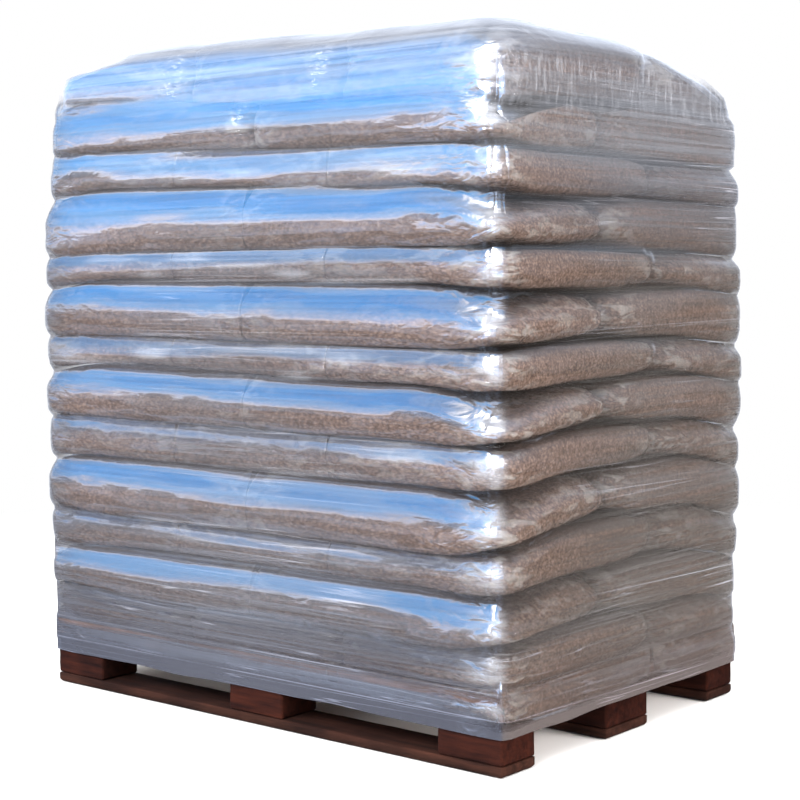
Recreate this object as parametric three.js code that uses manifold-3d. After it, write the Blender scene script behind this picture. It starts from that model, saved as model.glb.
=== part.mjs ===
// A wooden block pallet loaded with thirteen interlocked layers of pellet sacks,
// under a top sheet and wound in stretch film.
// Millimetres, +Z up. The origin is on the floor under the pallet's centre,
// X runs along the long side and -Y is the front.

import * as THREE from 'three';
import { mergeVertices } from 'three/addons/utils/BufferGeometryUtils.js';
import Module from 'manifold-3d';

const wasm = await Module();
wasm.setup();

// Pallet
const palletLength = 1200;
const palletWidth = 800;
const boardThickness = 22;
const blockHeight = 78;
const wideBoard = 145;
const narrowBoard = 100;
const deckGap = 41.25;

// The faces of a crosswise board are divided along it, so that a fork's bearing face is clear of the blocks
const stringerSpans = 8;

const blockFloor = boardThickness;
const stringerFloor = blockFloor + blockHeight;
const deckFloor = stringerFloor + boardThickness;
const loadFloor = deckFloor + boardThickness;

// Load: the height of each layer of sacks, from the pallet up
const layerHeights = [78, 84, 84, 100, 84, 88, 80, 98, 80, 98, 84, 72];
const topLayerFloor = layerHeights.reduce((floor, height) => floor + height, loadFloor);

// The load stands out past the pallet, most at half its height and least at the top
const bottomOverhang = 15;
const topOverhang = 11;
const barrelBulge = 12;

// Sacks laid crosswise take this share of the load's width, the lengthwise ones the rest
const acrossShare = 0.6;
const pressedDepth = 6;

// Section of a sack: how far in its edge is at each height
const cornerRadius = 52;
const topCornerRadius = 80;
const tightestRadius = 6;
const flatInset = 30;
const shoulderInset = 9;
const shoulderHeight = 0.16;

// The top layer swells upwards from its belly, and its back comes down by backDrop
const topBelly = { inset: 0, rise: 50 };
const topSwell = [
  { inset: 9, rise: 84 },
  { inset: 34, rise: 122 },
  { inset: 86, rise: 150 },
];
const topCrown = { inset: 170, rise: 162 };
const backDrop = 28;

// Films
const filmGap = 1;
const sheetGap = 2;
const sheetWall = 1;
const wrapWall = 1.2;
const wrapHem = 72;
const wrapDip = 12;
const palletFilmGap = 1.5;
const hemCornerRadius = 3;
const sheetSkirtDrop = 12;

const segmentsPerCorner = 3;
const segmentsAround = 4 * segmentsPerCorner;

const topHalfX = palletLength / 2 + overhang(layerHeights.length);
const topHalfY = palletWidth / 2 + overhang(layerHeights.length);

const pinewood = new THREE.MeshStandardMaterial({ color: 0x8a5a3c, roughness: 0.85, metalness: 0 });
const blockwood = new THREE.MeshStandardMaterial({ color: 0x5b3022, roughness: 0.9, metalness: 0 });
const pelletSack = new THREE.MeshStandardMaterial({ color: 0x8d7866, roughness: 0.35, metalness: 0 });
const clearFilm = new THREE.MeshStandardMaterial({
  color: 0xc4d2e2,
  roughness: 0.15,
  metalness: 0,
  transparent: true,
  opacity: 0.35,
});

const model = new THREE.Group();

function addMesh(name, geometry, material) {
  const mesh = new THREE.Mesh(geometry, material);
  mesh.name = name;
  model.add(mesh);
  return mesh;
}

// Rounded rectangle

// A ring is a rounded rectangle, and it comes down by `drop` from the load's front to its back
function ring(halfX, halfY, radius, z, drop = 0) {
  return { halfX, halfY, radius: Math.max(radius, tightestRadius), z, drop };
}

// A ring without size is a point
function pole(z, drop = 0) {
  return { halfX: 0, halfY: 0, radius: 0, z, drop };
}

// Point number `segment` of a ring, counted anticlockwise from the front side's right end
function ringPoint({ halfX, halfY, radius }, segment) {
  const corner = Math.floor(segment / segmentsPerCorner);
  const step = segment % segmentsPerCorner;
  const turn = ((corner - 1) + step / (segmentsPerCorner - 1)) * Math.PI / 2;
  const sideX = corner < 2 ? 1 : -1;
  const sideY = corner === 1 || corner === 2 ? 1 : -1;
  const x = sideX * (halfX - radius) + radius * Math.cos(turn);
  const y = sideY * (halfY - radius) + radius * Math.sin(turn);
  return [x, y];
}

// How far back a place lies, from 0 at the front to 1 at the back
function shareBack(y) {
  return (y + topHalfY) / (2 * topHalfY);
}

// Closed skin through a list of rings: a lathe whose round sections are squared
function squaredLathe(rings, centreX = 0, centreY = 0) {
  const profile = rings.map(({ halfX, z }) => new THREE.Vector2(halfX, z));
  const geometry = new THREE.LatheGeometry(profile, segmentsAround);
  const position = geometry.attributes.position;
  for (let vertex = 0; vertex < position.count; vertex += 1) {
    const level = rings[vertex % rings.length];
    const segment = Math.floor(vertex / rings.length) % segmentsAround;
    const [x, y] = ringPoint(level, segment);
    const z = level.z - level.drop * shareBack(centreY + y);
    position.setXYZ(vertex, centreX + x, centreY + y, z);
  }
  return weld(geometry);
}

// Shares the vertices that lie together, and drops the triangles that this closes up
function weld(geometry) {
  geometry.deleteAttribute('normal');
  geometry.deleteAttribute('uv');
  const welded = mergeVertices(geometry);
  const index = welded.index.array;
  const kept = [];
  for (let corner = 0; corner < index.length; corner += 3) {
    const [a, b, c] = index.slice(corner, corner + 3);
    if (a !== b && b !== c && c !== a) {
      kept.push(a, b, c);
    }
  }
  welded.setIndex(kept);
  welded.computeVertexNormals();
  return welded;
}

function toSolid(geometry) {
  return new wasm.Manifold(new wasm.Mesh({
    numProp: 3,
    vertProperties: new Float32Array(geometry.attributes.position.array),
    triVerts: new Uint32Array(geometry.index.array),
  }));
}

function toGeometry(solid) {
  const mesh = solid.getMesh();
  const geometry = new THREE.BufferGeometry();
  geometry.setAttribute('position', new THREE.BufferAttribute(mesh.vertProperties, 3));
  geometry.setIndex(new THREE.BufferAttribute(mesh.triVerts, 1));
  geometry.computeVertexNormals();
  return geometry;
}

// Pallet

function addBoard(name, material, size, centre, spans = 1) {
  const mesh = addMesh(name, new THREE.BoxGeometry(...size, 1, spans), material);
  mesh.position.set(...centre);
}

const rows = [
  { side: 'front', y: -(palletWidth - narrowBoard) / 2, width: narrowBoard },
  { side: 'middle', y: 0, width: wideBoard },
  { side: 'back', y: (palletWidth - narrowBoard) / 2, width: narrowBoard },
];

const columns = [
  { side: 'left', x: -(palletLength - wideBoard) / 2 },
  { side: 'centre', x: 0 },
  { side: 'right', x: (palletLength - wideBoard) / 2 },
];

function addBottomBoards() {
  for (const { side, y, width } of rows) {
    const size = [palletLength, width, boardThickness];
    addBoard(`bottom_board_${side}`, pinewood, size, [0, y, boardThickness / 2]);
  }
}

function addBlocks() {
  for (const row of rows) {
    for (const column of columns) {
      const size = [wideBoard, row.width, blockHeight];
      const centre = [column.x, row.y, blockFloor + blockHeight / 2];
      addBoard(`block_${row.side}_${column.side}`, blockwood, size, centre);
    }
  }
}

function addStringerBoards() {
  for (const { side, x } of columns) {
    const size = [wideBoard, palletWidth, boardThickness];
    const centre = [x, 0, stringerFloor + boardThickness / 2];
    addBoard(`stringer_board_${side}`, pinewood, size, centre, stringerSpans);
  }
}

// Three wide deck boards with a narrow one in each space between them
function addDeckBoards() {
  const outerY = (palletWidth - wideBoard) / 2;
  const narrowY = wideBoard / 2 + deckGap + narrowBoard / 2;
  const deck = [
    [-outerY, wideBoard],
    [-narrowY, narrowBoard],
    [0, wideBoard],
    [narrowY, narrowBoard],
    [outerY, wideBoard],
  ];
  deck.forEach(([y, width], index) => {
    const size = [palletLength, width, boardThickness];
    addBoard(`deck_board_${index + 1}`, pinewood, size, [0, y, deckFloor + boardThickness / 2]);
  });
}

// Sacks

function overhang(layer) {
  const share = layer / layerHeights.length;
  return bottomOverhang + (topOverhang - bottomOverhang) * share + barrelBulge * Math.sin(Math.PI * share);
}

// Rings of a sack of a lower layer, flat where it lies and where the next one lies on it
function sackRings(halfX, halfY, floor, height) {
  const inset = (distance, z) => ring(halfX - distance, halfY - distance, cornerRadius - distance, z);
  return [
    pole(floor),
    inset(flatInset, floor),
    inset(shoulderInset, floor + shoulderHeight * height),
    inset(0, floor + height / 2),
    inset(shoulderInset, floor + (1 - shoulderHeight) * height),
    inset(flatInset, floor + height),
    pole(floor + height),
  ];
}

// The swollen upper half of the top layer, from its belly up, moved out and up by `lift`
function swollenRings(halfX, halfY, lift) {
  return [topBelly, ...topSwell].map(({ inset, rise }) => ring(
    halfX - inset + lift,
    halfY - inset + lift,
    topCornerRadius - inset + lift,
    topLayerFloor + rise + (inset > 0 ? lift : 0),
    backDrop,
  ));
}

function topSackRings(halfX, halfY) {
  const inset = (distance, z) => ring(halfX - distance, halfY - distance, topCornerRadius - distance, z);
  return [
    pole(topLayerFloor),
    inset(flatInset, topLayerFloor),
    inset(shoulderInset, topLayerFloor + shoulderHeight * topBelly.rise),
    ...swollenRings(halfX, halfY, 0),
    pole(topLayerFloor + topCrown.rise, backDrop),
  ];
}

// Centre and half sizes of the five sacks of a layer
function sackPlan(layer) {
  const halfX = palletLength / 2 + overhang(layer);
  const halfY = palletWidth / 2 + overhang(layer);
  const acrossHalfX = (halfX + pressedDepth) / 3;
  const acrossHalfY = acrossShare * halfY + pressedDepth / 4;
  const alongHalfX = (halfX + pressedDepth / 2) / 2;
  const alongHalfY = (1 - acrossShare) * halfY + pressedDepth / 4;
  const front = layer % 2 === 0 ? -1 : 1;
  const sacks = [];
  for (const place of [-1, 0, 1]) {
    sacks.push({
      x: place * (halfX - acrossHalfX),
      y: front * (halfY - acrossHalfY),
      halfX: acrossHalfX,
      halfY: acrossHalfY,
    });
  }
  for (const place of [-1, 1]) {
    sacks.push({
      x: place * (halfX - alongHalfX),
      y: -front * (halfY - alongHalfY),
      halfX: alongHalfX,
      halfY: alongHalfY,
    });
  }
  return sacks;
}

function addLayer(layer, ringsOf) {
  const solids = sackPlan(layer).map((sack) => toSolid(squaredLathe(ringsOf(sack), sack.x, sack.y)));
  const joined = solids.reduce((whole, solid) => whole.add(solid));
  const name = `sack_layer_${String(layer + 1).padStart(2, '0')}`;
  addMesh(name, toGeometry(joined), pelletSack);
}

function addSackLayers() {
  let floor = loadFloor;
  layerHeights.forEach((height, layer) => {
    const layerFloor = floor;
    addLayer(layer, (sack) => sackRings(sack.halfX, sack.halfY, layerFloor, height));
    floor += height;
  });
  addLayer(layerHeights.length, (sack) => topSackRings(sack.halfX, sack.halfY));
}

// Films

function skirtRing(lift) {
  const z = topLayerFloor + topBelly.rise - sheetSkirtDrop;
  return ring(topHalfX + lift, topHalfY + lift, topCornerRadius + lift, z, backDrop);
}

// One face of the sheet over the top layer, from the hem of its skirt to the crown
function sheetFace(lift) {
  const crownZ = topLayerFloor + topCrown.rise + lift;
  const crown = ring(
    topHalfX - topCrown.inset + lift,
    topHalfY - topCrown.inset + lift,
    tightestRadius,
    crownZ,
    backDrop,
  );
  return [skirtRing(lift), ...swollenRings(topHalfX, topHalfY, lift), crown, pole(crownZ, backDrop)];
}

function addTopSheet() {
  const inside = sheetFace(sheetGap);
  const outside = sheetFace(sheetGap + sheetWall);
  addMesh('top_sheet', squaredLathe([...inside.reverse(), ...outside]), clearFilm);
}

// One face of the wrap, from its hem on the pallet's blocks to the top layer's shoulder
function wrapFace(lift) {
  const palletRing = (z) => ({
    halfX: palletLength / 2 + palletFilmGap + lift,
    halfY: palletWidth / 2 + palletFilmGap + lift,
    radius: hemCornerRadius + lift,
    z,
    drop: 0,
  });
  const face = [palletRing(wrapHem), palletRing(loadFloor)];
  let floor = loadFloor;
  layerHeights.forEach((height, layer) => {
    const reach = (distance, z) => ring(
      palletLength / 2 + overhang(layer) - distance + filmGap + lift,
      palletWidth / 2 + overhang(layer) - distance + filmGap + lift,
      cornerRadius - distance,
      z,
    );
    face.push(reach(shoulderInset, floor + shoulderHeight * height));
    face.push(reach(0, floor + height / 2));
    face.push(reach(shoulderInset, floor + (1 - shoulderHeight) * height));
    floor += height;
    face.push(reach(wrapDip, floor));
  });
  const overSheet = sheetGap + sheetWall + filmGap + lift;
  const topShoulder = swollenRings(topHalfX, topHalfY, overSheet).slice(0, 3);
  const underSkirt = skirtRing(overSheet);
  underSkirt.z -= filmGap;
  face.push(underSkirt);
  face.push(...topShoulder);
  return face;
}

function addStretchWrap() {
  const outside = wrapFace(wrapWall);
  const inside = wrapFace(0);
  const rings = [...outside, ...inside.reverse(), outside[0]];
  addMesh('stretch_wrap', squaredLathe(rings), clearFilm);
}

addBottomBoards();
addBlocks();
addStringerBoards();
addDeckBoards();
addSackLayers();
addTopSheet();
addStretchWrap();

export default model;
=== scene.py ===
"""Looks of a wooden pallet stacked with pellet sacks, under a film sheet and wound in stretch film.

Metres, +Z up. X runs along the pallet's long side and -Y is the front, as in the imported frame.
"""

import math
from itertools import product

import bpy
import numpy as np
from mathutils import Matrix, Vector
from mathutils.bvhtree import BVHTree
from mathutils.geometry import convex_hull_2d


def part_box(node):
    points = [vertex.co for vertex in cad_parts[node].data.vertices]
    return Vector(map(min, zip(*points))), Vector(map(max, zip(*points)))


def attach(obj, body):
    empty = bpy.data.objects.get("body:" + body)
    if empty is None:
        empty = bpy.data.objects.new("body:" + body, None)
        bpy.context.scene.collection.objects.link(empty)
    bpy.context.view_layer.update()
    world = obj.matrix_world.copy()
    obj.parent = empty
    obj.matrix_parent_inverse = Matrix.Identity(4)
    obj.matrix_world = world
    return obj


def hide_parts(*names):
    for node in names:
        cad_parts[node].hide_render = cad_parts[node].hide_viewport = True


MM = 0.001

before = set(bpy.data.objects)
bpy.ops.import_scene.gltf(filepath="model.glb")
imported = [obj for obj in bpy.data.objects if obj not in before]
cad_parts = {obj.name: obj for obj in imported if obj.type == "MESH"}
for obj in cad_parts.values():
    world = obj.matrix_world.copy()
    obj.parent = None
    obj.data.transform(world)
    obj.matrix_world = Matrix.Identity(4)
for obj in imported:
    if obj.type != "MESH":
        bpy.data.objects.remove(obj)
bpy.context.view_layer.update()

# Camera
CAMERA_PLACE = Vector((2.358, -2.754, 0.868))
CAMERA_AZIMUTH = math.radians(40.09)
CAMERA_PITCH = math.radians(4.01)
CAMERA_ROLL = math.radians(-0.47)
CAMERA_LENS = 77.65
CAMERA_SENSOR = 36.0

# Load
LAYERS = 13
ACROSS_SHARE = 0.6
LAYER_GAP = 0.4 * MM
SACK_GAP = 0.3 * MM
# A sack's edge is at the load's side when it is nearer to it than this
AT_SIDE = 10 * MM
# How far in the creases and the droop at the load's upright edges reach
CORNER_REACH = 120 * MM

# Plan of a sack: points along its rounded outline
SACK_CORNER = 52 * MM
JOINT_CORNER = 6 * MM
TOP_SACK_CORNER = 80 * MM
TOP_JOINT_CORNER = 12 * MM
# Sacks that are pressed together along the load's length keep flatter faces there than their free ones
JOINT_BULGE = 0.3
SACK_SIDE_POINTS = 34
SACK_SIDE_GATHERING = 0.8
SACK_CORNER_POINTS = 9

# Uneven fill: coarse and fine swellings of a sack's outer faces, how far they are drawn in on the whole,
# and creases at the load's corners. It fades between these two distances from the load's sides.
SWELL = 8 * MM
SWELL_BACK = 3 * MM
RIPPLE = 1.5 * MM
CREASE = 2.5 * MM
OUTER_ZONE = (30 * MM, 70 * MM)
FLOOR_RIPPLE = 3 * MM
CROWN_RIPPLE = 7 * MM

# A sack thins towards its seams, and most at the load's corners. The first value is a lengthwise sack's.
END_TAPERS = (0.14, 0.10)
END_TAPER_LENGTH = 120 * MM
SACK_CORNER_REACH = 75 * MM
CORNER_PINCHES = (0.24, 0.20)
LOAD_CORNER_PINCHES = (0.06, -0.08)
SHORT_SIDE_THINNING = 0.13
SHORT_SIDE_DEPTH = 60 * MM
# How much fuller the sacks are at the load's other corners than at its near one
FAR_CORNER_FULLNESS = 0.9
FAR_CORNER_REACH = 230 * MM
# And how much fuller and less crumpled along the long sides, up to where the right end begins
LONG_SIDE_FULLNESS = 0.9
LONG_SIDE_CALM = 0.4
RIGHT_END_BEGINS = (0.42, 0.22)
# Lengthwise sacks hang at the load's front corners
END_DROOP = 38 * MM
LEFT_DROOP = 0.25
END_DROOP_LENGTH = 230 * MM

# Painted shade: a sack's pellets are darkened where its film stands off them, from this share of its height
# up: high on the load's short sides, and from a little below the widest place on its long ones. The shade is
# full a span higher.
SLACK_SHADE_FROM = 0.82
SLACK_SHADE_BELOW_WIDEST = 0.06
SHORT_SIDE_SLACK_SHADE_SPAN = 0.25
LONG_SIDE_SLACK_SHADE_SPAN = 0.10

# The end seam of a crosswise sack stands back from the load's long side
END_SETBACK = 8 * MM

# The upper layers stand back at the left end
UPPER_LAYERS_FOOT = 1.02
UPPER_LAYERS_HEAD = 1.16
UPPER_LAYERS_BACK = 20 * MM
# The top layers stand in at the back
TOP_LAYERS_FOOT = 1.12
TOP_LAYERS_HEAD = 1.24
TOP_LAYERS_FORWARD = 16 * MM

# The rims of the lowest sacks overhang the pallet and sag down round its edge: inset and fall of each ring
PALLET_HALVES = (600 * MM, 400 * MM)
SAGGING_RIM = MM * np.array(
    [(25, 0), (21, 40), (16, 58), (9, 64), (3, 57), (0, 44), (2, 30), (8, 17), (17, 7)]
)
RIM_CORNER = 30 * MM

# Section of a sack of a lower layer: where it is widest, as a share of its height, and how far it is in at
# its top. Lengthwise sacks bulge more than crosswise ones, and the two layers under the top one the most.
WIDEST_SHARES = (0.52, 0.62)
UPPER_WIDEST_SHARES = (0.34, 0.36)
UPPER_LAYERS = 10
# Near the near corner a layer is widest higher up, by up to this share of its height
NEAR_LIFTS = {11: 0.34}
UPPER_INSETS = (30 * MM, 9 * MM)
UPPER_BEND = 1.6
LOWER_INSET = 15 * MM
LOWER_BEND = 4.5
SECTION_STEPS = 8
# The flat bottom and top of a sack reach this far in to their innermost ring
FLAT_WIDTH = 60 * MM

# The layers rest on uneven ones: each floor rises from its nominal height at the load's corners towards the
# middle of the long sides, by more over lengthwise sacks, and towards the middle of the short sides
CORNER_REST = 140 * MM
LENGTHWISE_RISES = (9 * MM, 20 * MM)
CROSSWISE_RISES = (-9 * MM, 6 * MM)
LOW_LAYERS = 5
TOP_FLOOR_RISE = 17 * MM
# Most of the floors above the lowest four climb to the left
LEFT_CLIMBS = {
    4: 6 * MM, 5: 9 * MM, 6: 21 * MM, 7: 11 * MM, 8: 15 * MM, 10: 24 * MM, 11: 32 * MM, 12: 58 * MM,
}
CLIMB_FROM = 0.3
CLIMB_LENGTH = 0.8
CLIMB_BEND = 1.3
# All but the lowest sink at the back corners
BACK_SINK = 12 * MM

# The top layer swells over the load's edges, and dips a little between its sacks
TOP_BELLY_RISE = 50 * MM
TOP_CROWN_RISE = 166 * MM
TOP_SHOULDER = 170 * MM
TOP_LEFT_SLOPE = 250 * MM
TOP_LEFT_RISE = 18 * MM
TOP_SEAM_DIP = 15 * MM
TOP_SEAM_WIDTH = 70 * MM
TOP_BACK_DROP = 28 * MM
TOP_CORNER_DROP = 42 * MM
TOP_CORNER_REACH = 250 * MM
TOP_NEAR_DROP = 12 * MM
TOP_NEAR_REACH = 200 * MM
# Rings over the crown, closer together at the edge, and how far in the last one lies in the narrower sacks
TOP_RINGS = 13
TOP_RING_START = 0.04
TOP_RING_BEND = 1.8
TOP_RING_DEPTH = 0.9
# Share by which the top layer narrows between its long sides, from its floor to its belly
TOP_LEAN = 0.055

LATTICE = 32


# Smooth random fields

class SmoothNoise:
    """Smooth random field over space, from about -1 to 1, the same each time for one seed."""

    def __init__(self, seed, cell):
        self.cell = np.asarray(cell, float)
        self.lattice = np.random.default_rng(seed).uniform(-1, 1, (LATTICE,) * 3)

    def __call__(self, points):
        place = np.asarray(points, float) / self.cell
        base = np.floor(place).astype(int)
        share = place - base
        share = share * share * (3 - 2 * share)
        total = np.zeros(place.shape[:-1])
        for corner in product((0, 1), repeat=3):
            near = (base + corner) % LATTICE
            weight = np.prod(np.where(corner, share, 1 - share), axis=-1)
            total += weight * self.lattice[near[..., 0], near[..., 1], near[..., 2]]
        return total


def smoothstep(low, high, value):
    """Goes smoothly from 0 at low to 1 at high, which may also be the smaller of the two."""
    share = np.clip((value - low) / (high - low), 0, 1)
    return share * share * (3 - 2 * share)


def nearness(away, reach):
    """1 at no distance, fading to 0 at about twice the reach."""
    return np.exp(-((away / reach) ** 2))


# Meshes

CORNER_SIGNS = ((1, -1), (1, 1), (-1, 1), (-1, -1))


def outline(half_x, half_y, radii, side_points, corner_points, gathered=0):
    """Points and normals of a rounded rectangle, anticlockwise, gathered or not towards its sides' ends."""
    points = []
    normals = []
    radii = np.broadcast_to(radii, 4)
    centres = [np.array([sign_x * (half_x - radius), sign_y * (half_y - radius)])
               for (sign_x, sign_y), radius in zip(CORNER_SIGNS, radii)]
    for quarter, centre in enumerate(centres):
        following = (quarter + 1) % 4
        turns = (quarter - 1 + np.arange(corner_points) / (corner_points - 1)) * math.pi / 2
        arc = np.stack([np.cos(turns), np.sin(turns)], axis=1)
        points.append(centre + radii[quarter] * arc)
        normals.append(arc)
        share = (np.arange(side_points) + 1)[:, None] / (side_points + 1)
        share += gathered * (0.5 - 0.5 * np.cos(math.pi * share) - share)
        start = centre + radii[quarter] * arc[-1]
        end = centres[following] + radii[following] * arc[-1]
        points.append(start + (end - start) * share)
        normals.append(np.repeat(arc[-1:], side_points, axis=0))
    return np.concatenate(points), np.concatenate(normals)


def lifted(plan, z=0):
    """Points or directions in plan, given a third coordinate."""
    return np.column_stack([plan, np.full(len(plan), z, float)])


def new_object(name, vertices, faces):
    mesh = bpy.data.meshes.new(name)
    vertices = np.asarray(vertices, np.float32)
    mesh.vertices.add(len(vertices))
    mesh.vertices.foreach_set("co", vertices.ravel())
    sizes = np.array([len(face) for face in faces])
    corners = np.concatenate([np.asarray(face) for face in faces])
    mesh.loops.add(len(corners))
    mesh.loops.foreach_set("vertex_index", corners)
    mesh.polygons.add(len(faces))
    mesh.polygons.foreach_set("loop_start", np.concatenate([[0], np.cumsum(sizes)[:-1]]))
    mesh.update(calc_edges=True)
    mesh.validate()
    mesh.shade_smooth()
    thing = bpy.data.objects.new(name, mesh)
    bpy.context.scene.collection.objects.link(thing)
    return thing


def ring_faces(rings, around):
    """Quads between neighbouring rings of `around` points, closed all the way round."""
    column = np.arange(around)
    after = (column + 1) % around
    quads = []
    for low in around * np.arange(rings - 1):
        high = low + around
        quads.append(np.stack([low + column, low + after, high + after, high + column], axis=1))
    return list(np.concatenate(quads))


def fan_faces(first, around, middle, turned=False):
    """Triangles from a ring of points to the one in its middle, turned over or not."""
    column = first + np.arange(around)
    after = np.roll(column, -1)
    pair = [after, column] if turned else [column, after]
    return list(np.stack(pair + [np.full(around, middle)], axis=1))


def closed_skin(name, rings):
    """Closed skin through rings of shape (levels, around, 3), with a point in the middle of each end."""
    levels, around, _ = rings.shape
    count = levels * around
    vertices = np.concatenate([rings.reshape(-1, 3), [rings[0].mean(0)], [rings[-1].mean(0)]])
    faces = ring_faces(levels, around) + fan_faces(0, around, count, turned=True)
    return new_object(name, vertices, faces + fan_faces(count - around, around, count + 1))


def mesh_points(thing):
    points = np.empty(3 * len(thing.data.vertices), np.float32)
    thing.data.vertices.foreach_get("co", points)
    return points.reshape(-1, 3)


def add_attribute(thing, name, values):
    attribute = thing.data.attributes.new(name, "FLOAT", "POINT")
    attribute.data.foreach_set("value", np.asarray(values, np.float32).ravel())


# Layers of the load

def layer_name(layer):
    return f"sack_layer_{layer + 1:02d}"


LAYER_BOXES = [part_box(layer_name(layer)) for layer in range(LAYERS)]
LAYER_FLOORS = [low.z for low, high in LAYER_BOXES]
LOAD_HALF_X = max(high.x for low, high in LAYER_BOXES)
LOAD_HALF_Y = max(high.y for low, high in LAYER_BOXES)

boundary_noise = [SmoothNoise(100 + layer, (0.26, 0.26, 1)) for layer in range(LAYERS + 1)]


def from_sides(points, plan=(0, 0, LOAD_HALF_X, LOAD_HALF_Y)):
    """How far in points lie from the nearer sides of a sack, or of the load, along x and along y."""
    x, y, half_x, half_y = plan[:4]
    return half_x - np.abs(points[..., 0] - x), half_y - np.abs(points[..., 1] - y)


def from_corner(points):
    """Distance in plan to the nearest upright edge of the load."""
    return np.hypot(*from_sides(points))


def at_near_corner(points):
    """True in the quarter of the load that holds its near corner, between the two sides seen in front."""
    return (points[..., 0] > 0) & (points[..., 1] < 0)


def load_corner(points):
    """Nearness in plan to an upright edge of the load, from 0 to 1."""
    return nearness(from_corner(points), CORNER_REACH)


def near_corner(points):
    """Nearness in plan to the load's near corner, where the film is crumpled most, from 0 to 1."""
    return load_corner(points) * at_near_corner(points)


def far_corners(points):
    """Nearness in plan to the upright edges of the load other than the near one, from 0 to 1."""
    return np.where(at_near_corner(points), 0, nearness(from_corner(points), FAR_CORNER_REACH))


def right_corner(points, side, reach):
    """Nearness in plan to the load's right corner, at the back (side 1) or the near one (side -1)."""
    return nearness(np.hypot(LOAD_HALF_X - points[..., 0], LOAD_HALF_Y - side * points[..., 1]), reach)


def long_side_share(points):
    """1 on the load's long sides and 0 on its short sides."""
    away_x, away_y = from_sides(points)
    return smoothstep(0, 60 * MM, away_x - away_y)


def calm_share(points):
    """1 on the long sides, and 0 on the short sides and towards the load's right end."""
    return long_side_share(points) * smoothstep(*RIGHT_END_BEGINS, points[..., 0])


def side_rise(layer):
    """Rise of a layer's floor in the middle of the load's short sides, most in its lower part."""
    return min(10 * layer, 45 - 5 * layer) * MM


def front_rise(layer):
    """Rise of a layer's floor along the load's long sides: more over a layer of lengthwise sacks."""
    rises = LENGTHWISE_RISES if layer % 2 == 0 else CROSSWISE_RISES
    return rises[0] if layer < LOW_LAYERS else rises[1]


def boundary(layer, points):
    """Height of the uneven surface that a layer lies on, over or under points."""
    height = np.full(points.shape[:-1], LAYER_FLOORS[layer])
    if layer == 0:
        return height
    away_x, away_y = from_sides(points)
    corner = nearness(from_corner(points), CORNER_REST)
    short_side = smoothstep(-100 * MM, 100 * MM, away_y - away_x)
    if layer == LAYERS - 1:
        rise = TOP_FLOOR_RISE
    else:
        rise = front_rise(layer) + (side_rise(layer) - front_rise(layer)) * short_side
    left = np.clip((CLIMB_FROM - points[..., 0]) / CLIMB_LENGTH, 0, 1.1)
    climb = LEFT_CLIMBS.get(layer, 0) * left ** CLIMB_BEND
    sink = BACK_SINK * corner * (points[..., 1] > 0)
    ripple = FLOOR_RIPPLE * boundary_noise[layer](points * (1, 1, 0))
    return height + rise * (1 - corner) + climb - sink + ripple


def sack_plan(layer):
    """Centre, half sizes and long axis of a layer's five sacks: three crosswise, then two lengthwise."""
    low, high = LAYER_BOXES[layer]
    across_x = high.x / 3
    across_y = ACROSS_SHARE * high.y
    along_x = high.x / 2
    along_y = (1 - ACROSS_SHARE) * high.y
    front = -1 if layer % 2 == 0 else 1
    sacks = []
    for place in (-1, 0, 1):
        sacks.append((place * 2 * across_x, front * (high.y - across_y), across_x, across_y, 1))
    for place in (-1, 1):
        sacks.append((place * along_x, -front * (high.y - along_y), along_x, along_y, 0))
    return sacks


def widest_share(layer, long_axis):
    """Share of a sack's height at which it is widest."""
    return (UPPER_WIDEST_SHARES if layer >= UPPER_LAYERS else WIDEST_SHARES)[long_axis]


def lower_section(layer, long_axis):
    """Inset and height share along a lower sack's section, from its flat bottom to its flat top."""
    steps = np.linspace(0, 1, SECTION_STEPS)
    widest = widest_share(layer, long_axis)
    below = [(LOWER_INSET * step ** LOWER_BEND, widest * (1 - step)) for step in steps[::-1]]
    above = [(UPPER_INSETS[long_axis] * step ** UPPER_BEND, widest + (1 - widest) * step) for step in steps]
    return below + above[1:]


def top_section():
    """Inset along a top sack's section, with the share of its belly's height, or none over its crown."""
    steps = np.linspace(0, 1, SECTION_STEPS)
    side = [(LOWER_INSET * step ** LOWER_BEND, 1 - step) for step in steps[::-1]]
    deepest = TOP_RING_DEPTH * (1 - ACROSS_SHARE) * LOAD_HALF_Y
    crown_steps = np.linspace(TOP_RING_START, 1, TOP_RINGS)
    crown = [(deepest * step ** TOP_RING_BEND, None) for step in crown_steps]
    return [(side[0][0] + FLAT_WIDTH, 0.0)] + side + crown


swell_noise = SmoothNoise(7, (0.24, 0.24, 0.07))
ripple_noise = SmoothNoise(8, (0.06, 0.06, 0.02))
crumple_noise = SmoothNoise(10, (0.045, 0.045, 0.012))
crown_noise = SmoothNoise(9, (0.13, 0.13, 1))


def corner_radii(plan, corner, joint):
    """Radii of a sack's corners: small where it meets its neighbour at the load's long sides."""
    x, y, half_x, half_y = plan[:4]
    radii = []
    for sign_x, sign_y in CORNER_SIGNS:
        at_long_side = abs(y + sign_y * half_y) > LOAD_HALF_Y - AT_SIDE
        at_short_side = abs(x + sign_x * half_x) > LOAD_HALF_X - AT_SIDE
        radii.append(joint if at_long_side and not at_short_side else corner)
    return np.array(radii)


def sack_outline(plan, radii, inset):
    """Outline of a sack in plan, drawn in by an inset, less so where it meets its neighbour."""
    x, y, half_x, half_y = plan[:4]
    left, right = (
        inset * (1 if abs(x + sign * half_x) > LOAD_HALF_X - AT_SIDE else JOINT_BULGE) for sign in (-1, 1)
    )
    width = half_x - SACK_GAP - (left + right) / 2
    inner = np.maximum(radii - inset, 3 * MM)
    points, normals = outline(
        width, half_y - SACK_GAP - inset, inner, SACK_SIDE_POINTS, SACK_CORNER_POINTS, SACK_SIDE_GATHERING
    )
    return points + np.array([x + (left - right) / 2, y]), normals


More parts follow.
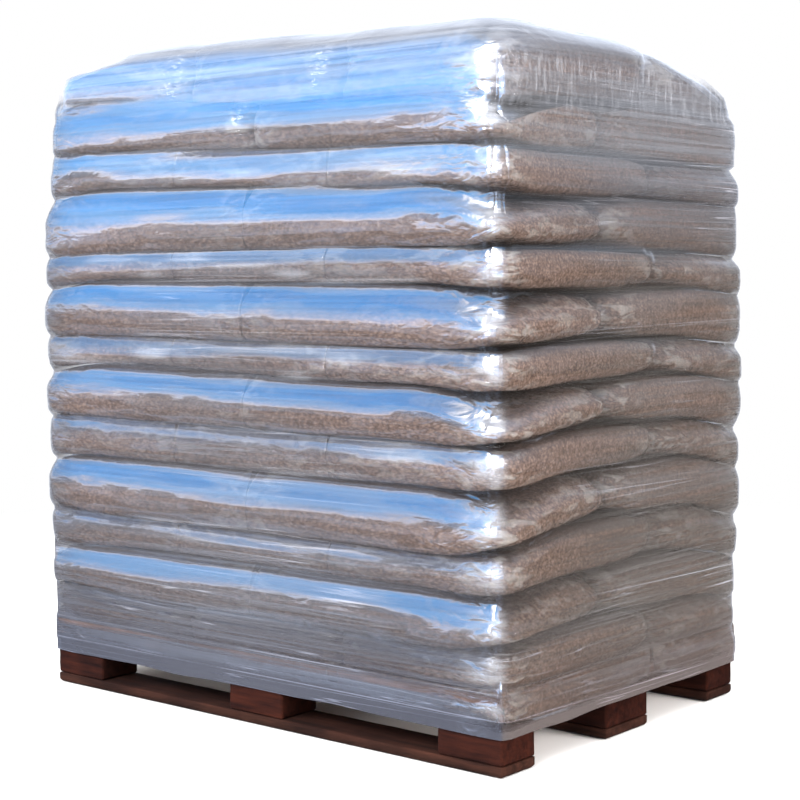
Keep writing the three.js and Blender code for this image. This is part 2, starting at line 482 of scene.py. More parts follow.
def swell(points, normals):
    """Moves points along their plan normals by the sacks' uneven fill, and the upper layers back."""
    outer = 1 - smoothstep(*OUTER_ZONE, np.stack(from_sides(points), axis=-1))
    push = SWELL * swell_noise(points) - SWELL_BACK + RIPPLE * ripple_noise(points)
    push += CREASE * crumple_noise(points) * load_corner(points)
    moved = points.copy()
    moved[..., :2] += normals * outer * push[..., None]
    left = np.clip(-points[..., 0] / LOAD_HALF_X, 0, 1)
    back = np.clip(points[..., 1] / LOAD_HALF_Y, 0, 1)
    height = points[..., 2]
    moved[..., 0] += UPPER_LAYERS_BACK * left * smoothstep(UPPER_LAYERS_FOOT, UPPER_LAYERS_HEAD, height)
    moved[..., 1] -= TOP_LAYERS_FORWARD * back * smoothstep(TOP_LAYERS_FOOT, TOP_LAYERS_HEAD, height)
    return moved


# Sacks

def end_closeness(points, plan):
    """Nearness in plan to the end seams of a sack, from 0 to 1."""
    away = from_sides(points, plan)[plan[4]]
    return np.clip(1 - away / END_TAPER_LENGTH, 0, 1) ** 1.5


def corner_closeness(points, plan):
    """Nearness in plan to the corners of a sack, from 0 to 1."""
    return nearness(np.hypot(*from_sides(points, plan)), SACK_CORNER_REACH)


def end_droop(points, plan):
    """How far the top of a lengthwise sack hangs at a front corner of the load."""
    away_x, away_y = from_sides(points)
    droop = END_DROOP * nearness(away_x, CORNER_REACH) * np.clip(1 - away_y / END_DROOP_LENGTH, 0, 1)
    return droop * (plan[4] == 0) * (points[..., 1] < 0) * np.where(points[..., 0] > 0, 1, LEFT_DROOP)


def thinning(points, plan):
    """Share by which a lower sack is thinner than the space between its floor and the next one."""
    long_axis = plan[4]
    pinch = CORNER_PINCHES[long_axis] + LOAD_CORNER_PINCHES[long_axis] * load_corner(points)
    share = corner_closeness(points, plan) * pinch
    share += END_TAPERS[long_axis] * end_closeness(points, plan)
    share += SHORT_SIDE_THINNING * nearness(from_sides(points)[0], SHORT_SIDE_DEPTH)
    share *= 1 - FAR_CORNER_FULLNESS * far_corners(points)
    return share * (1 - LONG_SIDE_FULLNESS * calm_share(points))


def make_lower_sack(layer, number, plan):
    """A sack of any layer but the top one, squeezed between its floor and the next layer's."""
    x, y, half_x, half_y, long_axis = plan
    section = lower_section(layer, long_axis)
    rim = SAGGING_RIM if layer == 0 else ()
    falls = [0] + [fall for inset, fall in rim] + [0] * (len(section) + 1)
    bottom = [(section[0][0] + FLAT_WIDTH, 0.0)] + [(inset, 0.0) for inset, fall in rim]
    section = bottom + section + [(section[-1][0] + FLAT_WIDTH, 1.0)]
    radii = corner_radii(plan, SACK_CORNER, JOINT_CORNER)
    rings = []
    for (inset, share), fall in zip(section, falls):
        plan_points, normals = sack_outline(plan, np.minimum(radii, RIM_CORNER) if fall else radii, inset)
        points = lifted(plan_points)
        gap = LAYER_GAP * (1 - 1.6 * far_corners(points))
        low = boundary(layer, points) + gap
        high = boundary(layer + 1, points) - gap - end_droop(points, plan)
        middle = low + (high - low) * widest_share(layer, long_axis)
        lift = NEAR_LIFTS.get(layer, 0) * smoothstep(-0.1, 0.5, points[:, 0]) * (points[:, 1] < 0)
        height = low + (high - low) * (share + lift * 4 * share * (1 - share))
        points[:, 2] = middle + (height - middle) * (1 - thinning(points, plan))
        if long_axis == 1:
            side = np.sign(y)
            outward = side * (points[:, 1] - y)
            points[:, 1] -= side * END_SETBACK * smoothstep(half_y - END_TAPER_LENGTH, half_y, outward)
        ring = swell(points, normals)
        rings.append(hung_over(points, ring, fall) if fall else ring)
    return closed_sack(layer, number, plan, rings, [share for inset, share in section])


def hung_over(plan_points, points, fall):
    """A ring of the lowest sacks, let down outside the pallet and kept clear of the pallet's sides."""
    beyond = np.abs(plan_points[:, :2]) - PALLET_HALVES
    points[:, 2] -= fall * smoothstep(0, 2 * MM, beyond.max(axis=1))
    clear = np.sign(points[:, :2]) * np.maximum(np.abs(points[:, :2]), np.array(PALLET_HALVES) + 1 * MM)
    points[:, :2] = np.where(beyond > 0, clear, points[:, :2])
    return points


def closed_sack(layer, number, plan, rings, shares):
    """A sack's skin, with how crumpled its film is, and how far up it gets painted shade where the film
    stands off the pellets.
    """
    sack = closed_skin(f"sack_{layer + 1:02d}_{number}", np.array(rings))
    points = mesh_points(sack)
    crumple = np.clip(corner_closeness(points, plan) + 0.5 * end_closeness(points, plan), 0, 1)
    calm = LONG_SIDE_CALM * (layer < LAYERS - 2) * calm_share(points)
    add_attribute(sack, "crumple", crumple * (1 - calm))
    share = np.concatenate([np.repeat(shares, len(rings[0])), [shares[0], shares[-1]]])
    long_side = long_side_share(points)
    long_side_start = widest_share(layer, plan[4]) - SLACK_SHADE_BELOW_WIDEST
    start = SLACK_SHADE_FROM + (long_side_start - SLACK_SHADE_FROM) * long_side
    span = SHORT_SIDE_SLACK_SHADE_SPAN + (LONG_SIDE_SLACK_SHADE_SPAN - SHORT_SIDE_SLACK_SHADE_SPAN) * long_side
    add_attribute(sack, "painted_slack_shade", np.clip((share - start) / span, 0, 1))
    return sack


def quarter_round(share):
    """Height of a quarter circle over its foot, from 0 at share 0 to 1 from share 1 on."""
    return np.sqrt(1 - (1 - np.clip(share, 0, 1)) ** 2)


def shoulder(points):
    """How far up from its belly the top layer has risen, from 0 at its edge to 1."""
    away_x, away_y = from_sides(points)
    slope = np.clip(away_x / TOP_LEFT_SLOPE, 0, 1)
    rise = np.where(points[..., 0] < 0, slope, quarter_round(away_x / TOP_SHOULDER))
    return rise * quarter_round(away_y / TOP_SHOULDER)


def seam_dip(points, plan):
    """Dip of the top layer towards the seams between its sacks."""
    distances = zip(from_sides(points, plan), from_sides(points))
    inner_x, inner_y = (np.where(inner < away - 1 * MM, inner, 1) for inner, away in distances)
    return TOP_SEAM_DIP * (1 - quarter_round(np.minimum(inner_x, inner_y) / TOP_SEAM_WIDTH))


def crown_top(points, plan):
    """Height of a top sack's upper face away from the load's edges."""
    left = smoothstep(-0.3, 0.5, -points[..., 0])
    back = (points[..., 1] + LOAD_HALF_Y) / (2 * LOAD_HALF_Y)
    height = LAYER_FLOORS[-1] + TOP_CROWN_RISE + TOP_LEFT_RISE * left + CROWN_RIPPLE * crown_noise(points)
    height -= TOP_BACK_DROP * back + TOP_CORNER_DROP * right_corner(points, 1, TOP_CORNER_REACH)
    height -= TOP_NEAR_DROP * right_corner(points, -1, TOP_NEAR_REACH)
    return height - seam_dip(points, plan)


def make_top_sack(layer, number, plan):
    """A sack of the top layer, which swells up from its belly over the crown."""
    radii = corner_radii(plan, TOP_SACK_CORNER, TOP_JOINT_CORNER)
    rings = []
    for inset, share in top_section():
        plan_points, normals = sack_outline(plan, radii, inset)
        low = boundary(layer, lifted(plan_points)) + LAYER_GAP
        points = lifted(plan_points, low)
        left = np.clip(-points[:, 0] / LOAD_HALF_X, 0, 1)
        belly = TOP_BELLY_RISE * (1 - 0.3 * left - 0.9 * right_corner(points, 1, TOP_CORNER_REACH))
        if share is None:
            height = low + belly + (crown_top(points, plan) - low - belly) * shoulder(points)
        else:
            height = low + belly * share
        points[:, 2] = height
        points[:, 1] *= 1 - TOP_LEAN * np.clip((height - low) / TOP_BELLY_RISE, 0, 1)
        rings.append(swell(points, normals))
    shares = [1 if share is None else 0.5 * share for inset, share in top_section()]
    return closed_sack(layer, number, plan, rings, shares)


def make_sacks():
    sacks = []
    for layer in range(LAYERS):
        make = make_top_sack if layer == LAYERS - 1 else make_lower_sack
        for number, plan in enumerate(sack_plan(layer), start=1):
            sack = make(layer, number, plan)
            sack.data.materials.append(pellet_material)
            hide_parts(layer_name(layer))
            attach(sack, "root")
            sacks.append(sack)
    return sacks


# Material helpers

WHITE = (1, 1, 1, 1)


class Nodes:
    """Short way to write the nodes of a material or a world."""

    def __init__(self, owner):
        owner.use_nodes = True
        self.tree = owner.node_tree
        self.tree.nodes.clear()

    def add(self, kind, inputs, **settings):
        """A node with its settings made and its inputs set or linked."""
        node = self.tree.nodes.new("ShaderNode" + kind)
        for key, value in settings.items():
            setattr(node, key, value)
        for key, value in inputs.items():
            if isinstance(value, bpy.types.NodeSocket):
                self.tree.links.new(value, node.inputs[key])
            else:
                node.inputs[key].default_value = value
        return node

    def source(self, kind, output, **settings):
        """An output of a node that has no inputs."""
        return self.add(kind, {}, **settings).outputs[output]

    def attribute(self, name):
        return self.source("Attribute", "Fac", attribute_name=name)

    def math(self, operation, *values, clamp=False):
        return self.add("Math", dict(enumerate(values)), operation=operation, use_clamp=clamp).outputs[0]

    def times(self, a, b, clamp=False):
        return self.math("MULTIPLY", a, b, clamp=clamp)

    def scaled(self, value, factor, term):
        return self.math("MULTIPLY_ADD", value, factor, term)

    def vector_math(self, operation, *vectors):
        return self.add("VectorMath", dict(enumerate(vectors)), operation=operation).outputs["Value"]

    def part(self, vector, axis):
        return self.add("SeparateXYZ", {"Vector": vector}).outputs[axis]

    def spread(self, value, low, high, start=0.0, end=1.0, **settings):
        """Spreads the values from low to high over start to end, and holds them there beyond."""
        inputs = {"Value": value, "From Min": low, "From Max": high, "To Min": start, "To Max": end}
        return self.add("MapRange", inputs, **settings).outputs[0]

    def place(self, turn=(0, 0, 0), scale=(1, 1, 1)):
        """Place in the part's frame, turned and scaled along each axis."""
        inputs = {"Vector": self.source("TexCoord", "Object"), "Rotation": turn, "Scale": scale}
        return self.add("Mapping", inputs).outputs["Vector"]

    def noise(self, turn, scale, detail, roughness=0.5, distortion=0.0):
        """Noise with as many cells to a metre along each axis as its scale says."""
        return self.add("TexNoise", {
            "Vector": self.place(turn, scale), "Scale": 1.0, "Detail": detail,
            "Roughness": roughness, "Distortion": distortion}).outputs[0]

    def ramp(self, value, stops):
        node = self.add("ValToRGB", {"Fac": value})
        elements = node.color_ramp.elements
        while len(elements) < len(stops):
            elements.new(0.5)
        for element, (place, color) in zip(elements, stops):
            element.position = place
            element.color = (*color, 1)
        return node.outputs["Color"]

    def mix(self, share, a, b, blend="MIX"):
        return self.add("Mix", {0: share, 6: a, 7: b}, data_type="RGBA", blend_type=blend).outputs[2]

    def bump(self, height, strength, distance, **inputs):
        inputs.update(Height=height, Strength=strength, Distance=distance)
        return self.add("Bump", inputs).outputs[0]

    def shader(self, kind, inputs):
        return self.add(kind, inputs).outputs[0]

    def mix_shader(self, share, a, b):
        return self.shader("MixShader", {0: share, 1: a, 2: b})

    def output(self, shader, owner="Material"):
        self.add("Output" + owner, {"Surface": shader})


# Sack material

# Two crossed sets of pellets, turned this way and that, and their cells to a metre along and across
PELLET_TURNS = ((0.3, 0.9, 0.4), (1.2, 0.2, 1.9))
PELLET_SCALE = (115, 200, 200)
PELLET_BROWNS = [(0.15, (0.132, 0.077, 0.053)), (0.5, (0.182, 0.115, 0.083)), (0.85, (0.255, 0.172, 0.132))]
# Painted shade in the gaps between the pellets
PELLET_GAP_SHADE = [(0.15, (0.42, 0.37, 0.35)), (0.45, (1, 1, 1))]
# Painted shade: the near-black that the pellets turn where the film stands off them
SLACK_SHADE = (0.03, 0.03, 0.036, 1)
# White of a sack's folded film at its seams and corners, partly a painted highlight
SACK_FILM_WHITE_AND_HIGHLIGHT = (0.50, 0.49, 0.455, 1)


def make_pellet_material():
    """Brown pellets under a sack's clear film, with painted shade between the pellets and where the film
    stands off them, and white folds at the seams that are partly a painted highlight.
    """
    material = bpy.data.materials.new("pellets_in_film")
    nodes = Nodes(material)
    heights = []
    tones = []
    for turn in PELLET_TURNS:
        place = nodes.place(turn, PELLET_SCALE)
        cells = nodes.add("TexVoronoi", {"Vector": place, "Scale": 1.0, "Randomness": 1.0})
        heights.append(nodes.math("SUBTRACT", 0.75, cells.outputs["Distance"]))
        tones.append(nodes.add("SeparateColor", {"Color": cells.outputs["Color"]}).outputs[0])
    brown = nodes.ramp(nodes.times(nodes.math("ADD", *tones), 0.5), PELLET_BROWNS)
    # Painted shade: darker in the gaps between the pellets
    gap = nodes.ramp(nodes.math("MAXIMUM", *heights), PELLET_GAP_SHADE)
    pellets = nodes.mix(0.85, brown, gap, "MULTIPLY")
    # Painted shade where the film stands off the pellets
    pellets = nodes.mix(nodes.times(nodes.attribute("painted_slack_shade"), 0.8), pellets, SLACK_SHADE)
    crumple = nodes.attribute("crumple")
    folds = nodes.noise((0.1, 0.06, 0), (22, 22, 60), 2.0, 0.55, 0.6)
    # White folds at the seams and corners, partly a painted highlight
    white = nodes.times(nodes.times(nodes.spread(folds, 0.5, 0.62), crumple), 0.4, clamp=True)
    nodes.output(nodes.shader("BsdfPrincipled", {
        "Base Color": nodes.mix(white, pellets, SACK_FILM_WHITE_AND_HIGHLIGHT), "Roughness": 0.7,
        "Coat Weight": 1.0, "Coat Roughness": 0.15, "Coat IOR": 1.7,
        "Coat Normal": nodes.bump(folds, nodes.scaled(crumple, 0.8, 0.12), 12 * MM)}))
    return material


# Film material

# Colours of the film where several turns lie over each other, in its creases, and where it is crumpled; the
# crumpled white is also a painted highlight at the near corner
MILK = (0.079, 0.079, 0.091, 1)
# Painted warm light: the short sides' milk is a warmer, lighter copy, and bluer towards their top
END_MILK = (0.093, 0.087, 0.085, 1)
UPPER_END_MILK = (0.092, 0.096, 0.112, 1)
MILK_LINES = (0.24, 0.24, 0.27, 1)
WHITE_FILM_AND_HIGHLIGHT = (0.50, 0.52, 0.57, 1)
# Painted shade: down towards its hem the film is darker
HEM_SHADE = (0.58, 0.63, 0.74, 1)
END_HEM_SHADE = (0.90, 0.81, 0.82, 1)
# What passes through it
FILM_TINT = (0.98, 0.985, 1.0, 1)
# Refractive index that gives the shine of the film's several surfaces together
FILM_INDEX = 2.8
# Edges of the film's turns: height between them, their slope across the load, and half their width
TURNS = ((0.19, 0.10), (0.31, -0.05))
TURN_EDGE = 1.2 * MM


def turn_edges(nodes, pitch, slope):
    """Thin straight lines along the edges of the film's turns, which climb across the load."""
    height = nodes.part(nodes.place((math.atan(slope), 0, 0), (1, 1, 1 / pitch)), "Z")
    away = nodes.math("ABSOLUTE", nodes.math("SUBTRACT", nodes.math("FRACT", height), 0.5))
    return nodes.spread(away, 0.0, TURN_EDGE / pitch, 1.0, 0.0)


def film_lines(nodes):
    """Thin lines in the film: clusters of nearly level creases, and the edges of its turns."""
    slanted = nodes.noise((-0.06, -0.05, 0), (1.2, 1.2, 90), 1.0)
    away = nodes.math("ABSOLUTE", nodes.math("SUBTRACT", slanted, 0.5))
    cluster = nodes.spread(nodes.noise((0.1, 0.1, 0), (2.5, 2.5, 9), 1.0), 0.45, 0.62)
    lines = nodes.times(nodes.spread(away, 0.0, 0.014, 1.0, 0.0), cluster)
    for pitch, slope in TURNS:
        edge = nodes.times(turn_edges(nodes, pitch, slope), nodes.math("ADD", cluster, 0.2))
        lines = nodes.math("MAXIMUM", lines, edge)
    return lines


def milk_color(nodes, lines):
    """Colour of the film where it is milky: warmer on the short sides by painted warm light, and darker
    towards the hem by painted shade.
    """
    height = nodes.part(nodes.place(), "Z")
    facing = nodes.math("ABSOLUTE", nodes.part(nodes.source("NewGeometry", "Normal"), "Y"))
    front = nodes.spread(facing, 0.4, 0.9)
    upper = nodes.spread(height, 0.85, 1.05)
    # Painted warm light: the warmer copy of the milk on the short sides
    color = nodes.mix(front, nodes.mix(upper, END_MILK, UPPER_END_MILK), MILK)
    color = nodes.mix(lines, color, MILK_LINES)
    # Painted shade: darker towards the hem, in a warmer tone on the short sides
    low_shade = nodes.spread(height, 0.10, 0.24, 1.0, 0.0)
    return nodes.mix(low_shade, color, nodes.mix(front, END_HEM_SHADE, HEM_SHADE), "MULTIPLY")


def make_film_material():
    """Clear, shiny film, milky in streaks by its haze, and white in folds and pleats, partly as a painted
    highlight at the near corner.
    """
    material = bpy.data.materials.new("stretch_film")
    nodes = Nodes(material)
    crumple = nodes.attribute("crumple")
    streaks = nodes.noise((0.03, 0.02, 0), (1.8, 1.8, 150), 2.0, 0.6)
    streaky = nodes.spread(streaks, 0.35, 0.68, 0.55, 1.45)
    folds = nodes.noise((0.04, 0.08, 0), (19, 19, 40), 2.0, 0.4, 0.8)
    folded = nodes.bump(folds, nodes.scaled(crumple, 0.75, 0.04), 15 * MM)
    normal = nodes.bump(streaks, 0.12, 1 * MM, Normal=folded)

    lines = film_lines(nodes)
    milky = nodes.times(nodes.attribute("haze"), nodes.scaled(lines, 0.7, streaky), clamp=True)
    clear = nodes.shader("BsdfTransparent", {"Color": FILM_TINT})
    milk = nodes.shader("BsdfDiffuse", {"Color": milk_color(nodes, lines)})
    hazy = nodes.mix_shader(milky, clear, milk)

    pattern = nodes.mix(crumple, nodes.times(streaky, 0.5), nodes.spread(folds, 0.45, 0.62))
    pleats = nodes.spread(nodes.noise((0.1, 0, 0), (150, 150, 17), 1.0, distortion=0.9), 0.5, 0.75)
    pleated = nodes.times(pleats, nodes.attribute("gather"))
    # White folds and pleats, partly a painted highlight at the near corner
    whitened_and_highlit = nodes.math("ADD", nodes.times(nodes.attribute("white"), pattern), pleated, clamp=True)
    body = nodes.mix_shader(whitened_and_highlit, hazy, nodes.shader("BsdfDiffuse", {"Color": WHITE_FILM_AND_HIGHLIGHT}))

    inside = nodes.source("NewGeometry", "Backfacing")
    index = nodes.scaled(inside, 1 / FILM_INDEX - FILM_INDEX, FILM_INDEX)
    fresnel = nodes.shader("Fresnel", {"IOR": index, "Normal": normal})
    shine = nodes.times(
        nodes.times(fresnel, nodes.attribute("cover")), nodes.scaled(streaky, 0.3, 0.7), clamp=True)
    gloss = nodes.shader("BsdfGlossy", {
        "Color": WHITE, "Roughness": nodes.scaled(crumple, 0.15, 0.12), "Normal": normal})
    nodes.output(nodes.mix_shader(shine, body, gloss))
    return material


# Films

WRAP_SIDE_POINTS = 116
WRAP_CORNER_POINTS = 24
WRAP_ROWS = 160
WRAP_REACH = 20 * MM
WRAP_HEM = 73 * MM
WRAP_TOP = 1.262
WRAP_CORNER = 60 * MM
# Rows that the film bridges between two bulges, and how far in it can lie
WRAP_BRIDGE = 9
WRAP_DEPTH = 160 * MM
WRAP_CLEARANCE = 1.5 * MM
# How far the film sinks between two layers: as a rule, where it is loose, and where it is taut
WRAP_SAG = 8 * MM
WRAP_LOOSE_SAG = 20 * MM
WRAP_TAUT_SAG = 2 * MM
WRAP_CREASE = 0.8 * MM
WRAP_WAVE = 2.1 * MM
HEM_WAVE = 4 * MM
# Heights between which the lower film's looks end, and from which it fades towards its top edge
LOWER_FILM_ENDS = (1.0, 0.88)
FADE_START = 1.20

hem_noise = SmoothNoise(24, (0.11, 0.11, 1))
haze_noise = SmoothNoise(31, (0.3, 0.3, 0.12))
scrap_noise = SmoothNoise(33, (0.13, 0.13, 0.016))
crease_noise = SmoothNoise(21, (0.25, 0.25, 0.014))
wave_noise = SmoothNoise(22, (0.16, 0.16, 0.05))


def solid_tree(things):
    """Search tree over the meshes of several things."""
    vertices = []
    polygons = []
    for thing in things:
        first = len(vertices)
        vertices += [vertex.co for vertex in thing.data.vertices]
        polygons += [[first + v for v in polygon.vertices] for polygon in thing.data.polygons]
    return BVHTree.FromPolygons(vertices, polygons)


def depth_grid(tree, starts, directions, reach):
    """How far each ray from a grid of starts goes before it meets something, up to reach."""
    depth = np.full(starts.shape[:2], reach)
    for place in np.ndindex(depth.shape):
        hit = tree.ray_cast(Vector(starts[place]), Vector(directions[place]), reach)
        if hit[0] is not None:
            depth[place] = hit[3]
    return depth


def window_extreme(grid, rows, columns, pick):
    """Smallest or largest value near each place of a grid that closes on itself sideways."""
    result = grid.copy()
    for shift in range(-columns, columns + 1):
        result = pick(result, np.roll(grid, shift, axis=1))
    base = result.copy()
    for shift in range(1, rows + 1):
        result[shift:] = pick(result[shift:], base[:-shift])
        result[:-shift] = pick(result[:-shift], base[shift:])
    return result


def drawn_over(grid, rows, columns):
    """Depth of a film that is drawn over the hollows that are narrower than twice a window."""
    return window_extreme(window_extreme(grid, rows, columns, np.minimum), rows, columns, np.maximum)


def blurred(grid, rows, columns):
    """Mean over a window of a grid that closes on itself sideways, weighted towards its middle."""
    for axis, width in ((1, columns), (0, rows)):
        shifts = np.arange(-2 * width, 2 * width + 1)
        weights = np.exp(-0.5 * (shifts / width) ** 2)
        weights /= weights.sum()
        total = np.zeros_like(grid)
        for shift, weight in zip(shifts, weights):
            if axis == 1:
                total += weight * np.roll(grid, shift, axis=1)
            else:
                index = np.clip(np.arange(grid.shape[0]) + shift, 0, grid.shape[0] - 1)
                total += weight * grid[index]
        grid = total
    return grid


def crosswise_share(points):
    """1 where a layer's sacks lie crosswise at the load's long sides, and 0 where they lie lengthwise."""
    height = points[..., 2]
    share = np.zeros(height.shape)
    for layer in range(0, LAYERS, 2):
        low = boundary(layer, points)
        high = boundary(layer + 1, points) if layer + 1 < LAYERS else low + 1
        share += smoothstep(low, low + 5 * MM, height) * smoothstep(high, high - 5 * MM, height)
    return share


def layer_share(points):
    """How far up its layer each point of the load lies, from 0 to 1."""
    height = points[..., 2]
    share = np.zeros(height.shape)
    for layer in range(LAYERS):
        low = boundary(layer, points)
        high = boundary(layer + 1, points) if layer + 1 < LAYERS else low + 100 * MM
        share = np.where(height > low, np.clip((height - low) / (high - low), 0, 1), share)
    return share


def mid_face(points):
    """Nearness to the middle of the load's length, a little to the left, from 0 to 1."""
    return nearness(points[..., 0] + 0.1, 0.3)


def wrap_haze(points):
    """How milky the wound film is: clearest round the corners, milkiest low down and at the back."""
    height = points[..., 2]
    over_hem = height - WRAP_HEM
    long_side = long_side_share(points)
    end_face = 1 - long_side
    corner = nearness(from_corner(points), 0.24) * (0.4 + 0.6 * smoothstep(0.2, 0.5, height))
    corner *= 1 - 0.8 * far_corners(points)
    patches = 0.5 + 0.5 * haze_noise(points)
    far_end = smoothstep(-0.35, 0.3, points[..., 1]) * end_face
    lower = smoothstep(*LOWER_FILM_ENDS, height)
    low = smoothstep(0.5 + 0.12 * end_face, 0.15, height)
    middle = mid_face(points) * smoothstep(0.95, 0.85, height)
    seams = crosswise_share(points) * lower
    hem = smoothstep(0.07 - 0.04 * end_face, 0.02 - 0.015 * end_face, over_hem)
    hem *= 1 - 0.7 * near_corner(points) * smoothstep(4 * MM, 12 * MM, over_hem)
    haze = 0.12 + 0.16 * patches + 0.15 * far_end + 0.25 * (1 - lower) * end_face
    haze += (0.38 - 0.04 * end_face) * low + (0.14 * middle + 0.16 * seams) * long_side
    haze = haze * (1 - 0.75 * corner) + 0.5 * far_corners(points) ** 8
    return (haze + (1.9 - haze) * hem) * smoothstep(WRAP_TOP, FADE_START, height)


def wrap_white_and_highlight(points):
    """How white the wound film is: a painted highlight on each layer's bulge at the crumpled near corner,
    white scraps over the crosswise seams, and a little more white up high.
    """
    height = points[..., 2]
    long_side = long_side_share(points)
    away_x, away_y = from_sides(points)
    share = layer_share(points)
    bulge = smoothstep(0.2, 0.4, share) * smoothstep(0.95, 0.75, share)
    over_deck = height - LAYER_FLOORS[0]
    rim = smoothstep(-45 * MM, -32 * MM, over_deck) * smoothstep(-10 * MM, -22 * MM, over_deck)
    bulge = np.maximum(bulge, 0.8 * rim)
    # Painted highlight: white on the bulge of each layer at the crumpled near corner
    crumpled = near_corner(points) ** (3 - 1.6 * smoothstep(0.95, 1.1, height))
    white = 0.8 * crumpled * smoothstep(-25 * MM, 15 * MM, away_x - away_y) * bulge
    scraps = smoothstep(0.15, 0.75, scrap_noise(points)) * crosswise_share(points)
    white += 0.32 * scraps * long_side * smoothstep(0.3, 0.45, height) * smoothstep(1.16, 1.10, height)
    fade = smoothstep(WRAP_TOP, FADE_START, height)
    white += 0.07 * long_side * smoothstep(0.85, 1.05, height) * fade
    white += 0.16 * (1 - long_side) * smoothstep(1.02, 1.12, height) * fade
    return white + 0.04 * long_side * mid_face(points)


def wrap_gather(points):
    """How much the wound film is gathered in upright pleats: on the short sides, near its top edge."""
    height = points[..., 2]
    gathered = smoothstep(1.14, 1.2, height) * (1 - long_side_share(points))
    return 0.22 * gathered * smoothstep(WRAP_TOP, 1.24, height)


def wrap_cover(points):
    """How much the wound film shines: less over crosswise seams, low on long sides and at far corners."""
    height = points[..., 2]
    long_side = long_side_share(points)
    seams = crosswise_share(points) * long_side * smoothstep(*LOWER_FILM_ENDS, height)
    seams *= 0.3 + 0.22 * smoothstep(0.6, 0.7, height)
    dull = long_side * smoothstep(0.95, 0.75, height)
    cover = (1 - seams) * (1 - 0.25 * dull) * smoothstep(WRAP_TOP - 4 * MM, FADE_START, height)
    return cover * (1 - 0.6 * far_corners(points) ** 8)


def pulled_straight(starts, inward, depth):
    """Depth of a film that is pulled tight round each level of what it covers."""
    tight = np.empty_like(depth)
    for row in range(depth.shape[0]):
        plan = starts[row, :, :2] + inward[row, :, :2] * depth[row, :, None]
        hull = plan[convex_hull_2d([Vector(point) for point in plan])]
        along = np.roll(hull, -1, axis=0) - hull
        outward = np.stack([along[:, 1], -along[:, 0]], axis=1)
        outside = starts[row, :, :2] @ outward.T - np.sum(outward * hull, axis=1)
        speed = -inward[row, :, :2] @ outward.T
        crossing = np.where(speed > 1e-9, outside / np.maximum(speed, 1e-9), -1)
        tight[row] = crossing.max(axis=1)
    return tight


def wrap_sag(starts):
    """How far the film sinks in between layers: little low down, most where it is loose or tucked in."""
    height = starts[..., 2]
    long_side = long_side_share(starts)
    taut = smoothstep(0.5, 0.3, height)
    loose = smoothstep(0.35, 0.6, height) * long_side * (1 - load_corner(starts))
    loose = np.maximum(loose, 0.8 * far_corners(starts) ** 2 * (1 - taut))
    tuck = nearness(height - LAYER_FLOORS[2] - 15 * MM, 28 * MM) * long_side
    rim_tuck = nearness(height - LAYER_FLOORS[0] - 5 * MM, 20 * MM) * (1 - far_corners(starts))
    tuck += rim_tuck * (1 - 0.8 * long_side)
    sag = WRAP_SAG + (WRAP_LOOSE_SAG - WRAP_SAG) * (loose + tuck)
    return sag + (WRAP_TAUT_SAG - WRAP_SAG) * taut * (1 - tuck)


def wrap_points(things):
    """Rows of points of the wound film, from its hem up, and how near each is to a corner of the load."""
    half_x = LOAD_HALF_X + WRAP_REACH
    half_y = LOAD_HALF_Y + WRAP_REACH
    plan, normals = outline(half_x, half_y, WRAP_CORNER, WRAP_SIDE_POINTS, WRAP_CORNER_POINTS)
    row_step = (WRAP_TOP - WRAP_HEM) / (WRAP_ROWS - 1)
    heights = WRAP_HEM + row_step * np.arange(WRAP_ROWS + WRAP_BRIDGE)
    starts = np.array([lifted(plan, height) for height in heights])
    inward = np.array([lifted(-normals)] * len(heights))
    depth = depth_grid(solid_tree(things), starts, inward, WRAP_DEPTH)
    touching = window_extreme(depth, 1, 1, np.minimum)
    tight = pulled_straight(starts, inward, depth)
    bridged = drawn_over(tight, WRAP_BRIDGE, 0)
    sag = wrap_sag(starts)
    film = bridged + sag * (1 - np.exp(-(tight - bridged) / sag))
    soft = smoothstep(0.26, 0.17, starts[..., 2])
    film = blurred(film, 1, 2) * (1 - soft) + blurred(film, 2, 2) * soft
    film = np.minimum(film, touching) - WRAP_CLEARANCE
    corner = load_corner(starts)
    starts, inward, film, corner = (grid[:WRAP_ROWS] for grid in (starts, inward, film, corner))
    points = starts + inward * film[..., None]
    crease = WRAP_CREASE * (crease_noise(points) + corner * crumple_noise(points * 1.3) + 1)
    wave = WRAP_WAVE * (wave_noise(points) + 1)
    free = (0.4 + 0.6 * smoothstep(0.15, 0.24, points[..., 2])) * (1 - 0.7 * far_corners(points) ** 8)
    points -= inward * (free * (crease + wave))[..., None]
    points[..., 2] += HEM_WAVE * hem_noise(points) * smoothstep(40 * MM, 0, points[..., 2] - WRAP_HEM)
    return points, corner


def make_wrap(things):
    """The wound film, from its hem below the deck to its top edge round the top layer."""
    points, corner = wrap_points(things)
    faces = ring_faces(WRAP_ROWS, points.shape[1])
    wrap = new_object("stretch_film_wrap", points.reshape(-1, 3), faces)
    crumple = (0.3 * corner + 0.45 * near_corner(points)) * (0.25 + 0.75 * long_side_share(points))
    add_attribute(wrap, "haze", wrap_haze(points))
    add_attribute(wrap, "crumple", crumple)
    add_attribute(wrap, "white", wrap_white_and_highlight(points))
    add_attribute(wrap, "gather", wrap_gather(points))
    add_attribute(wrap, "cover", wrap_cover(points))
    wrap.data.materials.append(film_material)
    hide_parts("stretch_wrap")
    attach(wrap, "root")


SHEET_SIDE_POINTS = 60
SHEET_CORNER_POINTS = 12
SHEET_ROWS = 48
# The sheet is let down from a dome over the top layer, which starts below its foot
SHEET_START_ANGLE = -0.45
SHEET_OUT = 12 * MM
SHEET_REACH_IN = 0.30
SHEET_REACH_UP = 0.18
SHEET_FOOT = 57 * MM
SHEET_DEPTH = 250 * MM
SHEET_CLEARANCE = 2.5 * MM
